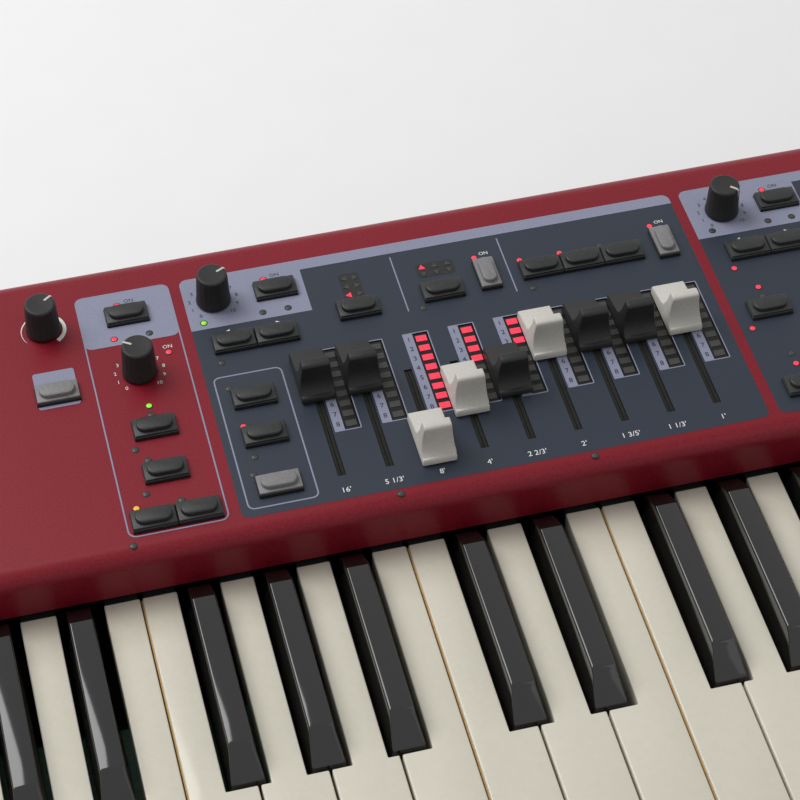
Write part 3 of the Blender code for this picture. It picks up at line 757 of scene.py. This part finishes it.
@dataclass
class Lamps:
    """Small round lamps, triangle lamps and the display."""

    red: tuple[Point, ...] = ((85.1, 117.7), (81.2, 101.2), (99.2, 90.2), (140.2, 117.7), (118.1, 48.6), (219.2, 109.4),
                              (235.4, 104.0), (251.0, 104.0), (288.3, 109.4), (336.4, 117.7), (312.1, 80.3),
                              (317.5, 68.9), (308.3, 49.5), (317.7, 29.3))
    green: tuple[Point, ...] = ((87.6, 66.4), (114.4, 101.2))
    orange: tuple[Point, ...] = ((74.8, 21.1),)
    off: tuple[Point, ...] = ((94.2, 101.2), (87.6, 62.0), (79.2, 47.2), (82.7, 41.6), (79.2, 26.7), (90.6, 21.1),
                              (136.5, 101.2), (146.0, 101.2), (116.8, 80.3), (116.8, 67.5), (119.0, 33.8),
                              (116.8, 26.0), (194.3, 89.0), (266.9, 104.0), (236.3, 89.0), (310.7, 101.2),
                              (333.0, 101.2), (342.5, 101.2), (317.5, 64.0), (317.7, 34.3), (70.9, 5.4), (164.4, 5.4),
                              (234.3, 5.4), *((462.0 + 24.0 * (n % 4) - 6.0, 59.4 - 26.0 * (n // 4)) for n in range(8)),
                              *((620.0 + 44.0 * (n % 5), 69.4 - 34.0 * (n // 5)) for n in range(10)))
    size: float = 1.02

    def build(self) -> None:
        """Build the lenses and their dark rims."""
        rims = bmesh.new()
        for name, places, state in (("red", self.red, LampState.RED), ("green", self.green, LampState.GREEN),
                                    ("orange", self.orange, LampState.ORANGE), ("off", self.off, LampState.OFF)):
            bm = bmesh.new()
            for u, v in places:
                centre = (across(u), along(v))
                turned(bm, [(0, 0), (self.size, 0), (self.size, 0.2), (0.7, 0.32), (0, 0.36)], centre, PANEL_TOP, 14)
                turned(rims, [(0, 0), (1.42, 0), (1.4, 0.13), (1.2, 0.16), (0, 0.16)], centre, PANEL_TOP - 0.01, 16)
            settle("lamps_" + name, bm, "root", LampFinish("lamp_" + name, state))
        settle("lamp_rims", rims, "root", KNOB_BLACK)
        self.triangles()
        low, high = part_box("display_window")
        bm = bmesh.new()
        box(bm, (low[0] / MM, high[0] / MM), (low[1] / MM, high[1] / MM), (low[2] / MM, high[2] / MM), 0.4, 3)
        settle("display_glass", bm, "root", SMOKE, ["display_window"])

    def triangles(self) -> None:
        """Build the triangle lamps over the model and vibrato buttons, each window's first one lit."""
        lit, dull = bmesh.new(), bmesh.new()
        places: list[tuple[float, float, float, bool]] = []
        for row in range(3):
            places += [(169.4, 101.9 + 4.3 * row, 180.0, row == 0), (173.2, 101.9 + 4.3 * row, 0.0, False)]
        for column in range(3):
            places += [(198.8 + 4.9 * column, 109.1, 90.0, column == 0), (198.8 + 4.9 * column, 105.9, 270.0, False)]
        for u, v, angle, shines in places:
            corners = arc((across(u), along(v)), 1.45, angle, angle + 240.0, 2)
            plate(lit if shines else dull, corners, (PANEL_TOP + 0.1, PANEL_TOP + 0.3))
        settle("triangles_lit", lit, "root", LampFinish("lamp_red", LampState.RED))
        settle("triangles_off", dull, "root", LampFinish("lamp_off", LampState.OFF))
        windows = bmesh.new()
        plate(windows, rounded((167.5, 175.0), (99.2, 113.0), 0.8), (PANEL_TOP, PANEL_TOP + 0.12))
        plate(windows, rounded((196.5, 210.9), (104.0, 111.1), 0.8), (PANEL_TOP, PANEL_TOP + 0.12))
        settle("triangle_windows", windows, "root", KNOB_BLACK)


@dataclass
class Keys:
    """White and black keys of five octaves, and the top key."""

    front: float = -135.0
    notch: float = -85.0
    rear: float = -1.4
    stems: tuple[Span, ...] = ((0.5, 13.4), (28.9, 41.4), (57.8, 70.2), (71.2, 83.2), (98.3, 110.1), (125.3, 137.2),
                               (152.2, 164.5))
    sharps: tuple[float, ...] = (21.0, 48.9, 90.9, 117.7, 144.7)

    def white(self, bm: bmesh.types.BMesh, start: float, n: int) -> None:
        """Add one white key with rounded edges."""
        head = (across(start + n * WHITE + 0.45), across(start + (n + 1) * WHITE - 0.45))
        stem = (across(start + self.stems[n][0]), across(start + self.stems[n][1]))
        left = head[0] if n in (0, 3) else stem[0]
        right = head[1] if n in (2, 6) else stem[1]
        back = self.rear
        outline = [(left, back), (left, self.notch), (head[0], self.notch), (head[0], self.front),
                   (head[1], self.front), (head[1], self.notch), (right, self.notch), (right, back)]
        tidy = [point for k, point in enumerate(outline) if point != outline[k - 1] and not (
            point[1] == self.notch and point[0] in (left, right) and point[0] in head)]
        self.rounded_slab(bm, tidy)

    def rounded_slab(self, bm: bmesh.types.BMesh, outline: Sequence[Point]) -> None:
        """Add one key slab whose upper rim and corners are rounded."""
        part = bmesh.new()
        plate(part, outline, (48.0, KEY_TOP))
        bmesh.ops.recalc_face_normals(part, faces=part.faces)
        rim = [edge for edge in part.edges if all(end.co.z > KEY_TOP - 0.01 for end in edge.verts)]
        corners = [edge for edge in part.edges if abs(edge.verts[0].co.z - edge.verts[1].co.z) > 1.0]
        bmesh.ops.bevel(part, geom=rim + corners, offset=0.6, segments=3, affect="EDGES", profile=0.5, material=-1)
        mesh = bpy.data.meshes.new("slab")
        part.to_mesh(mesh)
        part.free()
        bm.from_mesh(mesh)
        bpy.data.meshes.remove(mesh)

    def black(self, bm: bmesh.types.BMesh, x: float) -> None:
        """Add one black key: sloped front, narrow crowned top and the fall under the skirt."""
        side = [(self.notch + 1.0, 50.0), (self.notch + 1.0, 61.5), (self.notch + 1.6, 63.6), (-74.6, 70.2),
                (-72.9, SHARP_TOP), (-12.0, SHARP_TOP), (-1.3, 64.3), (36.0, 64.2), (37.0, 68.0), (47.0, 68.0),
                (47.0, 50.0)]
        part = bmesh.new()
        corners = prism(part, side, (x - 5.8, x + 5.8))
        for corner in corners:
            if corner.co.z > 64.25 and corner.co.y < 0.0:
                corner.co.x = x + (corner.co.x - x) * 4.2 / 5.8
        bmesh.ops.recalc_face_normals(part, faces=part.faces)
        shown = [edge for edge in part.edges if all(end.co.z > 61.0 and end.co.y < -1.0 for end in edge.verts)]
        bmesh.ops.bevel(part, geom=shown, offset=0.8, segments=4, affect="EDGES", profile=0.5, material=-1)
        mesh = bpy.data.meshes.new("sharp")
        part.to_mesh(mesh)
        part.free()
        bm.from_mesh(mesh)
        bpy.data.meshes.remove(mesh)

    def build(self) -> None:
        """Build the banks octave by octave."""
        for octave in range(5):
            start = octave * OCTAVE
            bm, painted_shade_arms, sides = bmesh.new(), bmesh.new(), bmesh.new()
            for n, (left, right) in enumerate(self.stems):
                self.white(bm, start, n)
                # Painted shade: the key tails behind each white top and the block under the skirt are black, standing
                # for the shadowed gap behind the keys.
                box(painted_shade_arms, (across(start + left + 0.4), across(start + right - 0.4)), (self.rear - 1.0, along(59.5)),
                    (48.5, 61.0), 0.3, 1)
            box(painted_shade_arms, (across(start + 1.0), across(start + OCTAVE - 1.0)), (along(50.5), along(59.8)), (48.8, 60.6))
            for n in (0, 3):
                x = across(start + n * WHITE + 0.45)
                box(sides, (x - 0.5, x + 0.1), (self.front + 1.0, self.rear - 0.5), (49.0, 62.0), 0.1, 1)
            name = "naturals_octave_%d" % (octave + 1)
            settle(name + "_keys", bm, name, IVORY, [name], 35.0)
            # Painted shade: these black tails stand for the shadow behind the white keys.
            settle(name + "_arms", painted_shade_arms, name, BLACK, [name], 35.0)
            settle(name + "_sides", sides, name, AMBER, (), 35.0)
            bm = bmesh.new()
            for centre in self.sharps:
                self.black(bm, across(start + centre))
            box(bm, (across(start + self.sharps[0]) - 4.0, across(start + self.sharps[-1]) + 4.0),
                (38.0, 46.5), (64.7, 67.6))
            name = "sharps_octave_%d" % (octave + 1)
            settle(name + "_keys", bm, name, EBONY, [name], 35.0)
        bm = bmesh.new()
        ends = (across(5 * OCTAVE + 0.45), across(KEYS_WIDTH - 0.45))
        self.rounded_slab(bm, [(ends[0], self.rear), (ends[0], self.front), (ends[1], self.front),
                               (ends[1], self.rear)])
        box(bm, (ends[0] + 2.0, ends[1] - 2.0), (self.rear - 1.0, along(59.5)), (48.5, 61.0), 0.3, 1)
        settle("top_c_key_slab", bm, "top_c_key", IVORY, ["top_c_key"], 35.0)


@dataclass
class RearSockets:
    """Round rims and plates of the sockets at the back."""

    jacks: tuple[float, ...] = (-330.0, -290.0, -250.0, -210.0, -150.0, -110.0)
    height: float = 49.5
    plane: float = 138.0

    def build(self) -> None:
        """Build a drilled plate and a nickel ring in each notch."""
        plates, rings = bmesh.new(), bmesh.new()
        for x in self.jacks:
            for bm, outer, inner, deep in ((plates, 4.4, 3.3, 1.4), (rings, 4.1, 3.2, 2.3)):
                chain = [(inner, 0.0), (outer, 0.0), (outer, deep - 0.2), (outer - 0.2, deep), (inner, deep)]
                first = [bm.verts.new((x + r, self.plane + h, self.height)) for r, h in chain]
                edges = [bm.edges.new((first[n - 1], first[n])) for n in range(len(first))]
                bmesh.ops.spin(bm, geom=first + edges, cent=(x, 0.0, self.height), axis=(0.0, 1.0, 0.0),
                               angle=math.tau, steps=24, use_merge=True, use_duplicate=False)
        bmesh.ops.remove_doubles(plates, verts=plates.verts, dist=0.0005)
        bmesh.ops.remove_doubles(rings, verts=rings.verts, dist=0.0005)
        settle("jack_collars", plates, "root", BLACK)
        settle("jack_rings", rings, "root", NICKEL)


@dataclass
class Studio:
    """Pale floor, soft light and the camera."""

    place: tuple[float, float, float] = (-0.3973, -0.5245, 0.7493)
    azimuth: float = 14.50
    elevation: float = 48.43
    roll: float = 0.234
    lens: float = 112.37
    lamps: tuple[tuple[tuple[float, float, float], float, float], ...] = (
        ((-1.3, 1.0, 1.9), 1.5, 46.0), ((1.4, -1.2, 2.2), 1.8, 6.0))

    def build(self) -> None:
        """Build the stage, the lamps, the world and the camera."""
        bm = bmesh.new()
        bmesh.ops.create_grid(bm, x_segments=1, y_segments=1, size=12.0)
        mesh = bpy.data.meshes.new("floor")
        bm.to_mesh(mesh)
        bm.free()
        floor = bpy.data.objects.new("floor", mesh)
        bpy.context.scene.collection.objects.link(floor)
        mesh.materials.append(Finish("pale_floor", (0.80, 0.80, 0.80), (0.81, 0.81, 0.81), 40.0, 2.0, 0.7).make())
        for n, (spot, size, power) in enumerate(self.lamps):
            light = bpy.data.lights.new("soft_%d" % n, "AREA")
            light.size = size
            light.energy = power
            holder = bpy.data.objects.new("soft_%d" % n, light)
            holder.location = spot
            holder.rotation_euler = (Vector((0.0, 0.0, 0.05)) - Vector(spot)).to_track_quat("-Z", "Y").to_euler()
            bpy.context.scene.collection.objects.link(holder)
        self.world()
        self.camera()

    def world(self) -> None:
        """Light the scene evenly, with white where the camera or a gloss looks past it."""
        world = bpy.data.worlds.new("studio")
        bpy.context.scene.world = world
        world.use_nodes = True
        tree = world.node_tree
        backdrop = tree.nodes["Background"]
        backdrop.inputs["Color"].default_value = (1.0, 1.0, 1.0, 1.0)
        path = tree.nodes.new("ShaderNodeLightPath")
        seen = (Wire(tree, path.outputs["Is Camera Ray"]) + Wire(tree, path.outputs["Is Glossy Ray"])
                + Wire(tree, path.outputs["Is Transmission Ray"]))
        level = seen * 0.62 + 0.38
        tree.links.new(level.socket, backdrop.inputs["Strength"])
        bpy.context.scene.view_settings.view_transform = "Standard"

    def camera(self) -> None:
        """Set the camera at the photograph's angle."""
        turn, tilt, roll = (math.radians(angle) for angle in (self.azimuth, self.elevation, self.roll))
        ahead = Vector((math.sin(turn) * math.cos(tilt), math.cos(turn) * math.cos(tilt), -math.sin(tilt)))
        right = ahead.cross(Vector((0.0, 0.0, 1.0))).normalized()
        up = right.cross(ahead)
        rolled = right * math.cos(roll) + up * math.sin(roll)
        over = rolled.cross(ahead)
        eye = bpy.data.cameras.new("photo_camera")
        eye.lens = self.lens
        eye.sensor_width = 36.0
        eye.clip_start = 0.01
        eye.clip_end = 50.0
        holder = bpy.data.objects.new("photo_camera", eye)
        holder.matrix_world = Matrix.Translation(self.place) @ Matrix((rolled, over, -ahead)).transposed().to_4x4()
        bpy.context.scene.collection.objects.link(holder)
        bpy.context.scene.camera = holder


def hole_tools(bars: Drawbars, buttons: Buttons, knobs: Knobs) -> bmesh.types.BMesh:
    """Solids that open the panel for the bars, ladders, buttons, shafts and the display.

    Args:
        bars: the drawbars.
        buttons: the button groups.
        knobs: the knobs.

    Returns:
        A bmesh of separate boxes and cylinders in millimetres.
    """
    bm = bmesh.new()
    cut = (PANEL_TOP - SHEET - 1.5, PANEL_TOP + 1.5)
    for n in range(len(bars.positions)):
        x = across(bars.first + bars.pitch * n)
        box(bm, (x - 1.46, x + 1.46), (along(18.3), along(60.8)), cut)
        box(bm, (x + 5.9, x + 11.5), (along(38.6), along(77.4)), cut)
    for lying, upright, _ in buttons.groups.values():
        for places, size in ((lying, buttons.block), (upright, buttons.upright)):
            for u, v in places:
                half = (size[0] / 2 + 0.09, size[1] / 2 + 0.3)
                box(bm, (across(u) - half[0], across(u) + half[0]), (along(v) - half[1], along(v) + half[1]), cut)
    for u, v, _ in knobs.places.values():
        bmesh.ops.create_cone(bm, cap_ends=True, segments=24, radius1=3.5, radius2=3.5, depth=cut[1] - cut[0],
                              matrix=Matrix.Translation((across(u), along(v), sum(cut) / 2)))
    low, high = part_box("display_window")
    box(bm, (low[0] / MM - 0.3, high[0] / MM + 0.3), (low[1] / MM - 0.3, high[1] / MM + 0.3), cut)
    return bm


def main() -> None:
    """Build the sub-assemblies in order."""
    logging.basicConfig(level=logging.INFO, format="%(message)s")
    bars, knobs, buttons, case = Drawbars(), Knobs(), Buttons(), Case()

    def cutters() -> bmesh.types.BMesh:
        """Fresh cutting solids."""
        return hole_tools(bars, buttons, knobs)

    Studio().build()
    case.build(cutters)
    case.dress()
    Printing().build(bars, knobs, cutters)
    bars.build()
    knobs.build()
    buttons.build()
    Lamps().build()
    Keys().build()
    RearSockets().build()


if __name__ == "__main__":
    main()
